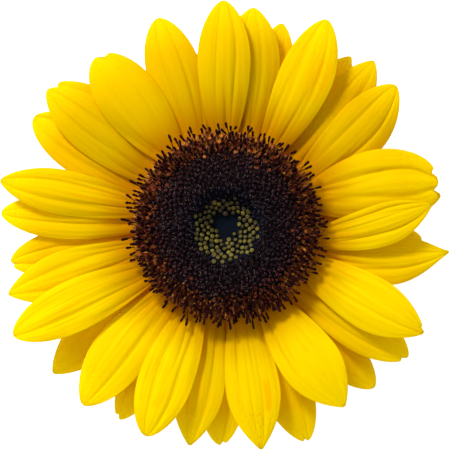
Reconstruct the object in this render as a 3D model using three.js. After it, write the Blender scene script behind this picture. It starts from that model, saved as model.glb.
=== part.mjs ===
// A cut sunflower head, lying face up on its short stem stub and its curled-back bracts.
// Millimetres, +Z up, the flower faces +Z. The origin is on the surface under the middle of the outline.
import * as THREE from "three";

const CLEARANCE = 0.3; // gap between pieces that touch in the real flower
const FACETS = 48; // sides of each turned piece

// Stem stub and receptacle, one grown piece
const STEM_RADIUS = 6.5;
const STUB_LENGTH = 11; // from the cut to where the stem swells
const SWELL_RADIUS = 19; // where the swelling turns into the side of the head
const SWELL_RISE = 3;
const SWELL_BEND = 0.45; // share of that rise reached halfway out
const SIDE_RISE = 9.5; // height of the sloping side that bears the bracts
const RIM_RADIUS = 29; // upright rim that bears the petals

// Disc florets, packed in three zones on top of the receptacle
const DISC_OVERHANG = 4.5; // how far the outermost florets reach past the rim
const OVERHANG_RISE = 1.8; // how far they lift over the petals
const OPEN_FLORET_ZONE = 9.5; // width of the outer ring
const DARK_BUD_ZONE = 11.5; // width of the middle ring
const CROWN_INSET = 19; // from the disc's edge in to where it is highest
const CROWN_HEIGHT = 10; // above the receptacle
const SHOULDER_HEIGHT = 4.4; // disc height at its edge
const HOLLOW_HEIGHT = 2.4; // disc height left in the middle
const HOLLOW_FLATNESS = 1.5; // above 1, the hollow's bottom is flatter than its sides
const DISC_STEPS = 5; // steps in each zone's curved top

// Petals, which are the ray florets
const PETAL_THICKNESS = 0.6;
const PETAL_CLAW = 0.46; // width of the foot as a share of the greatest width
const PETAL_WIDEST = 0.56; // where along the petal it is widest
const PETAL_WIDENING = 1.8; // how fast it widens from the foot
const PETAL_ROUNDING = 0.72; // 0.5 closes as an ellipse, 1 as a sharper point
const PETAL_TIP = 0.07; // width of the blunt end as a share of the greatest width
const PETAL_CROSS_CURVE = 0.0165; // sideways curl: drop per square millimetre from the midline
const FOOT_CURL = 0.45; // height that a curled foot needs above the next level
const PETAL_RISE = 0.45; // slope at the foot of the top level
const PETAL_RISE_STEP = 0.062; // each level down leaves the rim this much flatter
const PETAL_DROOP = 0.28; // share of the length that the tip bends down
const PETAL_DROOP_POWER = 3; // the higher, the nearer the tip it bends
const LEVELS = 5;
const RIM_MARGIN = 1.6; // bare rim above the top level and below the bottom one
const PETAL_STEPS = { along: 9, across: 4 };

// [tip bearing and foot bearing in degrees clockwise from +Y, reach past the rim, greatest width,
//  level: 0 in front, sideways bow of the midline, clockwise]
const PETALS = [
  [-0.6, -1, 45.8, 17.5, 1, 0],
  [4.5, 6, 41.6, 14, 3, 0],
  [7.2, 12, 44.2, 19.5, 2, 0.3],
  [15.5, 20, 41.4, 14, 4, 0],
  [26.2, 30, 47.2, 18, 1, 1.2],
  [37, 38, 42, 16.5, 4, 0.5],
  [42, 48, 45, 17, 3, 1.2],
  [50.6, 60, 44.4, 18.5, 2, 1.8],
  [78.5, 72, 43, 20.5, 1, -1.6],
  [82, 84, 43.4, 13, 3, 0],
  [84.3, 98, 39.4, 14, 0, 1.8],
  [94, 99, 36.8, 12.5, 4, 0.5],
  [96.7, 108, 45.8, 16.5, 2, 2.4],
  [118.5, 116, 45.4, 18, 0, 0.4],
  [126, 130, 45.8, 16.5, 2, 0],
  [137.5, 142, 44.6, 15.5, 4, 0],
  [146.8, 151, 42.6, 20, 0, 0.4],
  [159.4, 160, 48, 17, 3, 0],
  [171, 169.5, 46.2, 18, 1, 0],
  [181.5, 180, 44.4, 15.5, 3, 0],
  [189.4, 190, 45.2, 17, 2, 0],
  [201, 201, 45.5, 18, 0, 0.3],
  [209, 210, 45.2, 14, 4, 0],
  [218.6, 220, 47.2, 18.5, 1, 0.8],
  [229.6, 229, 47, 16.5, 3, 1],
  [242.7, 239, 50.2, 17, 0, 0.3],
  [252.5, 253, 46.8, 16.5, 1, 0],
  [260.3, 263, 44, 15.5, 3, 0],
  [273.3, 272, 46, 14.5, 2, 0],
  [281.3, 282, 47.4, 15, 1, 0],
  [299.4, 293, 44.8, 17, 3, 0],
  [307.2, 304, 45.8, 17.5, 2, 0],
  [310.4, 312, 44.8, 16.5, 4, 0],
  [322.6, 323, 41.8, 20.5, 1, 0],
  [341.8, 340, 43.8, 18, 2, 0],
  [346, 349, 32, 17, 4, 0],
];

// Bracts, the green leaflets behind the petals, in rows from the stem outwards
const BRACT_THICKNESS = 0.9;
const BRACT_WIDEST = 0.28; // where along the bract it is widest
const BRACT_WAIST = 0.2; // share of the width lost from there to the foot
const BRACT_TAPER = 1.15; // above 1, the taper starts slowly
const BRACT_TIP = 0.1; // width of the blunt end as a share of the greatest width
const BRACT_CROSS_CURVE = 0.016;
const BRACT_STEPS = { along: 7, across: 2 };
const BRACT_ROWS = [
  // curled right back, so that their tips stand on the surface
  { count: 7, belowRim: 7.1, length: 24, width: 14, rise: -0.05, turn: 12, touchesSurface: true },
  { count: 7, belowRim: 3.8, length: 25, width: 15, rise: 0.05, droop: 0.34, turn: 38 },
  { count: 6, belowRim: 0.5, length: 23.5, width: 15.5, rise: 0.12, droop: 0.26, turn: 5 },
];

// Sizes that follow from those
const DISC_RADIUS = RIM_RADIUS + DISC_OVERHANG;
const OPEN_FLORET_INNER = DISC_RADIUS - OPEN_FLORET_ZONE;
const DARK_BUD_INNER = OPEN_FLORET_INNER - DARK_BUD_ZONE;
const CROWN_RADIUS = DISC_RADIUS - CROWN_INSET;
const LEVEL_DROP = PETAL_THICKNESS + CLEARANCE + FOOT_CURL;
const SWELL_Z = STUB_LENGTH + SWELL_RISE;
const RIM_BOTTOM_Z = SWELL_Z + SIDE_RISE;
const RIM_TOP_Z = RIM_BOTTOM_Z + 2 * RIM_MARGIN + (LEVELS - 1) * LEVEL_DROP;
const DISC_FLOOR_Z = RIM_TOP_Z + CLEARANCE;

const finish = (color, roughness) =>
  new THREE.MeshStandardMaterial({ color, roughness, metalness: 0 });
const stemGreen = finish(0x5f7d2c, 0.8);
const leafGreen = finish(0x4f7a28, 0.75);
const yellow = finish(0xffd500, 0.6);
const brown = finish(0x4a1c10, 0.8);
const darkPurple = finish(0x1e1218, 0.7);
const budGreen = finish(0x6d6a22, 0.7);

const flower = new THREE.Group();

function addPiece(name, geometry, material) {
  const piece = new THREE.Mesh(geometry, material);
  piece.name = name;
  flower.add(piece);
}

function addLeaf(kind, number, surface, thickness, steps, material) {
  const name = `${kind}_${String(number).padStart(2, "0")}`;
  addPiece(name, leafSolid(surface, thickness, steps), material);
}

// A turned solid: the profile runs from the axis, or round a closed ring, as [radius, height] pairs.
function turned(profile) {
  const points = profile.map(([radius, height]) => new THREE.Vector2(radius, height));
  return new THREE.LatheGeometry(points, FACETS).rotateX(Math.PI / 2);
}

// A closed leaf: surface(s, v) gives the middle of its thickness, s from foot to tip, v from -1 to 1 across.
function leafSolid(surface, thickness, steps) {
  const corners = [];
  const alongStep = 0.01;
  for (const side of [1, -1]) {
    for (let i = 0; i <= steps.along; i++) {
      for (let j = 0; j <= steps.across; j++) {
        const s = i / steps.along;
        const v = (2 * j) / steps.across - 1;
        const lengthwise = surface(s + alongStep, v).sub(surface(s - alongStep, v));
        const crosswise = surface(s, v + alongStep).sub(surface(s, v - alongStep));
        const normal = crosswise.cross(lengthwise).normalize();
        corners.push(surface(s, v).addScaledVector(normal, (side * thickness) / 2));
      }
    }
  }
  const row = steps.across + 1;
  const sheet = row * (steps.along + 1);
  const triangles = [];
  const quad = (a, b, c, d) => triangles.push(a, b, c, a, c, d);
  for (let i = 0; i < steps.along; i++) {
    for (let j = 0; j < steps.across; j++) {
      const a = i * row + j;
      quad(a, a + 1, a + row + 1, a + row);
      quad(sheet + a, sheet + a + row, sheet + a + row + 1, sheet + a + 1);
    }
  }
  const edge = [];
  for (let j = 0; j < steps.across; j++) edge.push(j);
  for (let i = 0; i < steps.along; i++) edge.push(i * row + steps.across);
  for (let j = steps.across; j > 0; j--) edge.push(steps.along * row + j);
  for (let i = steps.along; i > 0; i--) edge.push(i * row);
  edge.forEach((a, k) => {
    const b = edge[(k + 1) % edge.length];
    quad(a, sheet + a, sheet + b, b);
  });
  return new THREE.BufferGeometry().setFromPoints(corners).setIndex(triangles);
}

// The point at a bearing, clockwise from +Y as seen from in front, and a distance from the axis.
function atBearing(degrees, radius) {
  const angle = THREE.MathUtils.degToRad(degrees);
  return new THREE.Vector2(radius * Math.sin(angle), radius * Math.cos(angle));
}

// A leaf surface over the line from foot to tip in plan: half its width is halfWidth(s), and its midline
// bows sideways by bow, leaves footHeight with slope rise and bends down by droop, a share of the length.
function leafSurface({ foot, tip, halfWidth, bow = 0, footHeight, rise, droop, droopPower = 2, crossCurve }) {
  const span = tip.clone().sub(foot);
  const length = span.length();
  const across = new THREE.Vector2(span.y, -span.x).normalize();
  return (s, v) => {
    const offset = v * halfWidth(THREE.MathUtils.clamp(s, 0, 1));
    const sideways = offset + bow * 4 * s * (1 - s);
    const plan = foot.clone().addScaledVector(span, s).addScaledVector(across, sideways);
    const bend = droop * Math.max(0, s) ** droopPower;
    const height = footHeight + length * (rise * s - bend) - crossCurve * offset * offset;
    return new THREE.Vector3(plan.x, plan.y, height);
  };
}

// Half the width of a petal: a narrow foot, widest past the middle, and a rounded point.
function petalHalfWidth(width) {
  return (s) => {
    const toWidest = (PETAL_WIDEST - s) / PETAL_WIDEST;
    const closing = (s - PETAL_WIDEST) / (1 - PETAL_WIDEST);
    const share =
      s < PETAL_WIDEST
        ? PETAL_CLAW + (1 - PETAL_CLAW) * (1 - toWidest ** PETAL_WIDENING)
        : PETAL_TIP + (1 - PETAL_TIP) * Math.max(0, 1 - closing * closing) ** PETAL_ROUNDING;
    return (width / 2) * share;
  };
}

// Half the width of a bract: broad near the foot, then a long taper.
function bractHalfWidth(width) {
  return (s) => {
    const toWidest = (BRACT_WIDEST - s) / BRACT_WIDEST;
    const closing = (s - BRACT_WIDEST) / (1 - BRACT_WIDEST);
    const share =
      s < BRACT_WIDEST
        ? 1 - BRACT_WAIST * toWidest * toWidest
        : BRACT_TIP + (1 - BRACT_TIP) * (1 - closing ** BRACT_TAPER);
    return (width / 2) * share;
  };
}

// Radius of the receptacle's sloping side at a height.
function sideRadius(height) {
  const share = THREE.MathUtils.clamp((height - SWELL_Z) / SIDE_RISE, 0, 1);
  return SWELL_RADIUS + (RIM_RADIUS - SWELL_RADIUS) * share;
}

// Height of the top of the disc above the receptacle: a ring-shaped crown round a hollow.
function discHeight(radius) {
  const inward = Math.min(1, radius / CROWN_RADIUS);
  const outward = Math.max(0, radius - CROWN_RADIUS) / CROWN_INSET;
  const climb = Math.sin((Math.PI / 2) * inward) ** HOLLOW_FLATNESS;
  const fall = outward * outward;
  return HOLLOW_HEIGHT + (CROWN_HEIGHT - HOLLOW_HEIGHT) * climb - (CROWN_HEIGHT - SHOULDER_HEIGHT) * fall;
}

// The top edge of a disc zone, as profile points from its outer radius to its inner one.
function discTop(outer, inner) {
  return Array.from({ length: DISC_STEPS + 1 }, (_, i) => {
    const radius = outer + ((inner - outer) * i) / DISC_STEPS;
    return [radius, DISC_FLOOR_Z + discHeight(radius)];
  });
}

// The foot of a petal that leaves the rim at a slant stands off, so that neither corner of it meets the rim.
function slantedFoot(bearing, radius, tip, halfFoot) {
  const foot = atBearing(bearing, radius);
  const slant = tip.clone().sub(foot).angleTo(foot);
  return atBearing(bearing, radius + halfFoot * Math.sin(slant));
}

addPiece(
  "stem_and_receptacle",
  turned([
    [0, 0],
    [STEM_RADIUS, 0],
    [STEM_RADIUS, STUB_LENGTH],
    [(STEM_RADIUS + SWELL_RADIUS) / 2, STUB_LENGTH + SWELL_RISE * SWELL_BEND],
    [SWELL_RADIUS, SWELL_Z],
    [RIM_RADIUS, RIM_BOTTOM_Z],
    [RIM_RADIUS, RIM_TOP_Z],
    [0, RIM_TOP_Z],
  ]),
  stemGreen,
);

addPiece(
  "centre_buds",
  turned([[0, DISC_FLOOR_Z], [DARK_BUD_INNER, DISC_FLOOR_Z], ...discTop(DARK_BUD_INNER, 0)]),
  budGreen,
);

const darkInner = DARK_BUD_INNER + CLEARANCE;
addPiece(
  "dark_buds",
  turned([
    [darkInner, DISC_FLOOR_Z],
    [OPEN_FLORET_INNER, DISC_FLOOR_Z],
    ...discTop(OPEN_FLORET_INNER, darkInner),
    [darkInner, DISC_FLOOR_Z],
  ]),
  darkPurple,
);

const openInner = OPEN_FLORET_INNER + CLEARANCE;
addPiece(
  "open_florets",
  turned([
    [openInner, DISC_FLOOR_Z],
    [RIM_RADIUS, DISC_FLOOR_Z],
    [DISC_RADIUS, DISC_FLOOR_Z + OVERHANG_RISE],
    ...discTop(DISC_RADIUS, openInner),
    [openInner, DISC_FLOOR_Z],
  ]),
  brown,
);

PETALS.forEach(([tipBearing, footBearing, reach, width, level, bow], index) => {
  const tip = atBearing(tipBearing, RIM_RADIUS + reach);
  const surface = leafSurface({
    foot: slantedFoot(footBearing, RIM_RADIUS + CLEARANCE, tip, (width / 2) * PETAL_CLAW),
    tip,
    bow,
    halfWidth: petalHalfWidth(width),
    footHeight: RIM_TOP_Z - RIM_MARGIN - level * LEVEL_DROP,
    rise: PETAL_RISE - level * PETAL_RISE_STEP,
    droop: PETAL_DROOP,
    droopPower: PETAL_DROOP_POWER,
    crossCurve: PETAL_CROSS_CURVE,
  });
  addLeaf("petal", index + 1, surface, PETAL_THICKNESS, PETAL_STEPS, yellow);
});

let bractNumber = 0;
for (const row of BRACT_ROWS) {
  const footHeight = RIM_BOTTOM_Z - row.belowRim;
  const footRadius = sideRadius(footHeight + BRACT_THICKNESS) + CLEARANCE;
  // the droop that brings the tip down to the surface
  const droopToSurface = row.rise + (footHeight - BRACT_THICKNESS / 2) / row.length;
  for (let i = 0; i < row.count; i++) {
    const bearing = row.turn + (360 * i) / row.count;
    const surface = leafSurface({
      foot: atBearing(bearing, footRadius),
      tip: atBearing(bearing, footRadius + row.length),
      halfWidth: bractHalfWidth(row.width),
      footHeight,
      rise: row.rise,
      droop: row.touchesSurface ? droopToSurface : row.droop,
      crossCurve: BRACT_CROSS_CURVE,
    });
    bractNumber += 1;
    addLeaf("bract", bractNumber, surface, BRACT_THICKNESS, BRACT_STEPS, leafGreen);
  }
}

// The origin: on the surface, under the middle of the outline
const outline = new THREE.Box3().setFromObject(flower, true);
const middle = outline.getCenter(new THREE.Vector3());
flower.position.set(-middle.x, -middle.y, -outline.min.z);

export default flower;
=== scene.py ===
# %% [markdown]
# # A cut sunflower head
#
# A sunflower head is hundreds of small flowers on one plate. The yellow petals are the ray florets of
# its rim, the dark disc is a spiral of tube-shaped florets that open from the outside in, and green
# bracts wrap the back. This one is cut with a short stub of stem and lies face up.
#
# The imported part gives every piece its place. The cells below measure the plain CAD leaves and zones,
# and put a finer surface where each of them is.

# %% Load the frame
import math

import bpy
import numpy as np
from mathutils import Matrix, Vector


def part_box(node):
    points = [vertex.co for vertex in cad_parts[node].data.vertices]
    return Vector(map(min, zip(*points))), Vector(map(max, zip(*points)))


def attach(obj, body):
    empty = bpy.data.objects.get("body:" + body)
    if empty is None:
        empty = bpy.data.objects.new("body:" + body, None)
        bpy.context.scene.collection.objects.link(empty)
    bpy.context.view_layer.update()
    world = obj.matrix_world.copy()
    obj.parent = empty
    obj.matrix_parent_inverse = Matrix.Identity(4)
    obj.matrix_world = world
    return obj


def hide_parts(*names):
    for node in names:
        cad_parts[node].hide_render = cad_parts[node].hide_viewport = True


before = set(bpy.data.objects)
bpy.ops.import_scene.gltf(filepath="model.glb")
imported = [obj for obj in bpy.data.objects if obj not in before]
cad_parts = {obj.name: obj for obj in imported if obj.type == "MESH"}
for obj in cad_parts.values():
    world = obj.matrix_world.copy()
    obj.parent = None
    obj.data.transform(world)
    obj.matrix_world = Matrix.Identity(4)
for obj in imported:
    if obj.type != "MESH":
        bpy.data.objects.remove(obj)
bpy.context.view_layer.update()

PETALS = sorted(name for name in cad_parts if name.startswith("petal_"))
BRACTS = sorted(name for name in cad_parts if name.startswith("bract_"))
print(len(PETALS), "petals and", len(BRACTS), "bracts")

# %% [markdown]
# ## Working in millimetres
#
# Petals and florets are small, so the shapes below are worked out in millimetres, and one function
# turns them into a mesh in metres. It could be done with edit tools or modifiers. Whole numpy arrays are
# used because a thousand florets are then one calculation.

# %% Meshes from arrays
MM = 0.001
RNG = np.random.default_rng(20)


def add_piece(name, points, faces, replaced, slot, uv, tint, material_of=None, materials=()):
    """A smooth mesh that rides on the flower and stands for CAD nodes.

    points are in millimetres. faces is a list of arrays, one row of point numbers for each face. uv and
    tint hold one entry for each point, and material_of one material number for each face.
    """
    mesh = bpy.data.meshes.new(name)
    mesh.from_pydata(np.round(points * MM, 7).tolist(), [], [f for block in faces for f in block.tolist()])
    corner = np.empty(len(mesh.loops), np.int32)
    mesh.loops.foreach_get("vertex_index", corner)
    uv_layer = mesh.uv_layers.new(name="along_and_across")
    uv_layer.data.foreach_set("uv", uv[corner].astype(np.float32).ravel())
    mesh.attributes.new("tint", "FLOAT", "POINT").data.foreach_set("value", tint.astype(np.float32))
    mesh.polygons.foreach_set("use_smooth", np.ones(len(mesh.polygons), bool))
    for material in materials:
        mesh.materials.append(material)
    if material_of is not None:
        mesh.polygons.foreach_set("material_index", material_of.astype(np.int32))
    mesh.update()
    piece = bpy.data.objects.new(name, mesh)
    bpy.context.scene.collection.objects.link(piece)
    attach(piece, "root")
    if replaced:
        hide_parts(*replaced)
    return piece


# %% [markdown]
# Two shapes make everything here: a grid of points joined by quads, and a thin leaf, which is two such
# grids joined round the edge.

# %% Grids and thin leaves
def grid_faces(rows, columns, ring=False):
    """Quads between neighbouring points of a grid numbered row by row. A ring joins its last column to
    its first."""
    row = np.arange(rows - 1)[:, None] * columns
    column = np.arange(columns if ring else columns - 1)[None]
    here = row + column
    beside = row + (column + 1) % columns
    return np.stack([here, beside, beside + columns, here + columns], -1).reshape(-1, 4)


def thin_leaf(middle, thickness):
    """Points and quads of a closed leaf. Its two skins stand half the thickness off the middle surface,
    along the normal, and a band of quads joins them round the edge."""
    rows, columns = thickness.shape
    along = np.gradient(middle, axis=0)
    across = np.gradient(middle, axis=1)
    normal = np.cross(across, along)
    normal /= np.linalg.norm(normal, axis=-1, keepdims=True)
    offset = normal * thickness[..., None] / 2
    skin = np.arange(rows * columns).reshape(rows, columns)
    edge = np.concatenate([skin[0, :-1], skin[:-1, -1], skin[-1, :0:-1], skin[:0:-1, 0]])
    beside = np.roll(edge, -1)
    band = np.stack([edge, edge + skin.size, beside + skin.size, beside], -1)
    upper = grid_faces(rows, columns)
    lower = upper[:, ::-1] + skin.size
    points = np.concatenate([(middle + offset).reshape(-1, 3), (middle - offset).reshape(-1, 3)])
    return points, [np.concatenate([upper, lower, band])]


def ring_solid(rings):
    """Points and faces of a solid from (rows, columns, 3) closed rings that run anticlockwise as seen from
    the last one. Each end is closed by triangles round its middle point."""
    rows, columns = rings.shape[:2]
    points = np.concatenate([rings.reshape(-1, 3), rings[:1].mean(1), rings[-1:].mean(1)])
    here = np.arange(columns)
    beside = np.roll(here, -1)
    start = np.stack([beside, here, np.full(columns, rows * columns)], -1)
    last = (rows - 1) * columns
    end = np.stack([here + last, beside + last, np.full(columns, rows * columns + 1)], -1)
    return points, [grid_faces(rows, columns, ring=True), start, end]


# %% [markdown]
# ## Measuring the CAD leaves
#
# A petal's or bract's own corners say where its foot and tip are, how wide it is, which way it bows and
# how it rises and droops. They lie in rows across the leaf, so sorting them by distance along the leaf
# and cutting the list into equal rows gives all of that back.

# %% Measure a leaf
def corners_of(node):
    """The different corner points of a CAD node, in millimetres."""
    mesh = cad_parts[node].data
    flat = np.empty(len(mesh.vertices) * 3, np.float32)
    mesh.vertices.foreach_get("co", flat)
    return np.unique((flat.reshape(-1, 3) / MM).round(4), axis=0)


def measure_leaf(node, per_row):
    """Foot, span, sideways bow, width and height curve of a CAD leaf.

    The mean of the first row is the foot and that of the last row the tip. The bow is fitted to the row
    means with the curve 4s(1-s), and a cubic in s is fitted to the heights next to the midline.
    """
    points = corners_of(node)
    outward = points[:, :2].mean(0) - AXIS
    for _ in range(2):
        rows = points[np.argsort(points[:, :2] @ outward)].reshape(-1, per_row, 3)
        foot, tip = rows[0].mean(0), rows[-1].mean(0)
        outward = (tip - foot)[:2]
    length = np.linalg.norm(outward)
    across = np.array([outward[1], -outward[0]]) / length
    sideways = (rows[..., :2] - foot[:2]) @ across
    s = ((rows[..., :2] - foot[:2]) @ outward).mean(1) / length**2
    bulge = 4 * s * (1 - s)
    bow = (sideways.mean(1) * bulge).sum() / (bulge**2).sum()
    off_middle = np.abs(sideways - sideways.mean(1, keepdims=True))
    midline = np.take_along_axis(rows[..., 2], np.argsort(off_middle, 1)[:, :2], 1).mean(1)
    return {
        "foot": foot[:2],
        "span": outward,
        "length": length,
        "across": across,
        "bow": bow,
        "half_width": off_middle.max(),
        "height": np.polyfit(s, midline, 3),
    }


core_low, core_high = (np.array(corner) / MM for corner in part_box("stem_and_receptacle"))
AXIS = (core_low + core_high)[:2] / 2
RIM_RADIUS = (core_high - core_low)[0] / 2
RIM_TOP = core_high[2]
petals = {name: measure_leaf(name, per_row=10) for name in PETALS}
bracts = {name: measure_leaf(name, per_row=6) for name in BRACTS}
print("axis", AXIS.round(2), "rim radius", round(RIM_RADIUS, 2), "rim top", round(RIM_TOP, 2))
print("petal lengths", round(min(p["length"] for p in petals.values()), 1), "to",
      round(max(p["length"] for p in petals.values()), 1))

# %% [markdown]
# ## Materials
#
# Living tissue is never one flat colour. Two effects are shared, so each is a node group: a mottled grain
# that follows Object coordinates, and fine veins that follow a leaf's own UV map, where U runs from foot
# to tip and V across.

# %% Node helpers
def new_group(name, inputs, outputs):
    """An empty shader node group with float inputs {name: default} and float outputs."""
    group = bpy.data.node_groups.new(name, "ShaderNodeTree")
    for title, value in inputs.items():
        socket = group.interface.new_socket(title, in_out="INPUT", socket_type="NodeSocketFloat")
        socket.default_value = value
    for title in outputs:
        group.interface.new_socket(title, in_out="OUTPUT", socket_type="NodeSocketFloat")
    return group, group.nodes.new("NodeGroupInput"), group.nodes.new("NodeGroupOutput")


def add_node(tree, kind, sources=None, **settings):
    """A node with its settings made and its sockets fed. A source is a socket to link or a plain value."""
    node = tree.nodes.new(kind)
    for name, value in settings.items():
        setattr(node, name, value)
    for socket, source in (sources or {}).items():
        if isinstance(source, bpy.types.NodeSocket):
            tree.links.new(source, node.inputs[socket])
        else:
            node.inputs[socket].default_value = source
    return node


def blend_colours(tree, factor, low, high, mode="MIX"):
    """The colour socket of a Mix node between two colours or colour sockets."""
    node = add_node(tree, "ShaderNodeMix", data_type="RGBA", blend_type=mode)
    for number, source in ((0, factor), (6, low), (7, high)):
        if isinstance(source, bpy.types.NodeSocket):
            tree.links.new(source, node.inputs[number])
        else:
            node.inputs[number].default_value = source
    return node.outputs[2]


def times(tree, value, factor):
    """A value socket times a number or another value socket."""
    return add_node(tree, "ShaderNodeMath", {0: value, 1: factor}, operation="MULTIPLY").outputs[0]


def step_up(tree, value, low, high):
    """A value socket that runs smoothly from 0 at low to 1 at high."""
    node = add_node(tree, "ShaderNodeMapRange", interpolation_type="SMOOTHSTEP", clamp=True)
    tree.links.new(value, node.inputs["Value"])
    node.inputs["From Min"].default_value = low
    node.inputs["From Max"].default_value = high
    return node.outputs["Result"]


# %% Grain and vein groups
grain, grain_in, grain_out = new_group("tissue_grain", {"Scale": 300.0}, ["Blotches", "Grain"])
place = add_node(grain, "ShaderNodeTexCoord").outputs["Object"]
for output, share, detail in (("Blotches", 0.25, 2.0), ("Grain", 3.0, 3.0)):
    scale = times(grain, grain_in.outputs["Scale"], share)
    noise = add_node(grain, "ShaderNodeTexNoise", {"Vector": place, "Scale": scale, "Detail": detail})
    grain.links.new(noise.outputs["Fac"], grain_out.inputs[output])

veins, veins_in, veins_out = new_group("leaf_veins", {"Count": 22.0, "Stretch": 0.6}, ["Veins", "Along"])
leaf_uv = add_node(veins, "ShaderNodeUVMap", uv_map="along_and_across").outputs["UV"]
uv_parts = add_node(veins, "ShaderNodeSeparateXYZ", {0: leaf_uv})
tint_read = add_node(veins, "ShaderNodeAttribute", attribute_name="tint")
along = times(veins, uv_parts.outputs["X"], veins_in.outputs["Stretch"])
across = times(veins, uv_parts.outputs["Y"], veins_in.outputs["Count"])
own_start = times(veins, tint_read.outputs["Fac"], 40.0)
spot = add_node(veins, "ShaderNodeCombineXYZ", {"X": along, "Y": across, "Z": own_start})
streaks = add_node(veins, "ShaderNodeTexNoise", {"Vector": spot.outputs[0], "Scale": 1.0, "Detail": 3.0})
veins.links.new(streaks.outputs["Fac"], veins_out.inputs["Veins"])
veins.links.new(uv_parts.outputs["X"], veins_out.inputs["Along"])
print("node groups:", [group.name for group in bpy.data.node_groups])


# %% Material helpers
def new_material(name):
    """A material with a Principled BSDF and the node tree to build on."""
    material = bpy.data.materials.new(name)
    material.use_nodes = True
    return material, material.node_tree, material.node_tree.nodes["Principled BSDF"]


def add_bump(tree, skin, height, distance, strength=1.0):
    """Feeds a Bump node, with its distance in millimetres, into the shader's normal."""
    sources = {"Height": height, "Distance": distance * MM, "Strength": strength}
    bump = add_node(tree, "ShaderNodeBump", sources)
    tree.links.new(bump.outputs["Normal"], skin.inputs["Normal"])


# %% [markdown]
# A petal is thin and lets light through, so its shader is a mix of a satin skin and a translucent one.
# Its yellow turns to orange at the foot, and faint veins run from foot to tip. The tint also carries painted
# light and shade: deep among the layers a petal is a darker yellow up to its free end, and a petal pointing
# away from +Y is a lighter yellow.

# %% Petal material
petal_skin, tree, skin = new_material("petal_yellow")
vein = add_node(tree, "ShaderNodeGroup", {"Count": 15.0, "Stretch": 1.2}, node_tree=veins)
mottle = add_node(tree, "ShaderNodeGroup", {"Scale": 260.0}, node_tree=grain)
tint = add_node(tree, "ShaderNodeAttribute", attribute_name="tint").outputs["Fac"]
FOOT_ORANGE = (0.7, 0.31, 0.0, 1)
SHADED_YELLOW = (0.73, 0.47, 0.0, 1)
VEIN_YELLOW = (0.86, 0.54, 0.0, 1)
LEMON = (0.94, 0.77, 0.0, 1)
out_from_foot = step_up(tree, vein.outputs["Along"], 0.0, 0.42)
# The tint blends painted shade (SHADED_YELLOW) into painted light (LEMON), with a little random tone.
body = blend_colours(tree, tint, SHADED_YELLOW, LEMON)
veined = blend_colours(tree, step_up(tree, vein.outputs["Veins"], 0.3, 0.5), VEIN_YELLOW, body)
mottled = blend_colours(tree, step_up(tree, mottle.outputs["Blotches"], 0.3, 0.7), veined, body)
petal_colour = blend_colours(tree, out_from_foot, FOOT_ORANGE, mottled)
tree.links.new(petal_colour, skin.inputs["Base Color"])
skin.inputs["Roughness"].default_value = 0.5
skin.inputs["Specular IOR Level"].default_value = 0.06
skin.inputs["Specular Tint"].default_value = (1.0, 0.75, 0.05, 1)
add_bump(tree, skin, vein.outputs["Veins"], 0.2)
glow = add_node(tree, "ShaderNodeBsdfTranslucent", {"Color": petal_colour})
both = add_node(tree, "ShaderNodeMixShader", {0: 0.46, 1: skin.outputs[0], 2: glow.outputs[0]})
tree.links.new(both.outputs[0], tree.nodes["Material Output"].inputs["Surface"])

# %% [markdown]
# ## Petals
#
# Each petal has a narrow claw, is widest past the middle and closes to a rounded point. Two grooves
# divide it into three soft strips that run together at the tip. It could be sculpted, but a formula in
# two parameters keeps the grooves running with the petal, and lets 36 petals differ by a few numbers.

# %% Petal shape
ROWS, COLUMNS = 84, 51
CLAW = 0.46  # share of the greatest half width at the foot
WIDEST = 0.56  # where along the petal it is widest
TIP = 0.05  # share of the greatest half width at the tip
CROSS_CURVE = 0.0165  # drop per square millimetre from the midline
FOOT_CREASES = 5
FOOT_CREASE_END = 0.66
ROOT_INSET = 0.5  # how far inside the rim and below its top the petals are rooted, in millimetres
CLAW_LENGTH = 3.0  # how far out the foot's curl reaches, in millimetres
CLAW_SHARE = 0.3  # of the way up to the rim; more would push the feet of neighbours into each other


def petal_half_width(s, closing_power):
    """Share of the greatest half width at s. Below the widest place it widens from the claw as
    1 - (distance to the widest place)^1.8, and above it closes as (1 - distance^2)^closing_power."""
    below = np.clip((WIDEST - s) / WIDEST, 0, None)
    above = np.clip((s - WIDEST) / (1 - WIDEST), 0, 1)
    widening = CLAW + (1 - CLAW) * (1 - below**1.8)
    closing = TIP + (1 - TIP) * (1 - above**2) ** closing_power
    return np.where(s < WIDEST, widening, closing)


def groove(v, place, width):
    """A soft crease: a narrow bell curve with a wide one under it."""
    near = (v - place) / width
    return 0.6 * np.exp(-(near**2)) + 0.4 * np.exp(-((near / 2.6) ** 2))


def ramp(v, width):
    """A soft hinge: 0 below zero and v above it, with a bend about as wide as width."""
    return (v + np.sqrt(v**2 + width**2)) / 2


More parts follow.
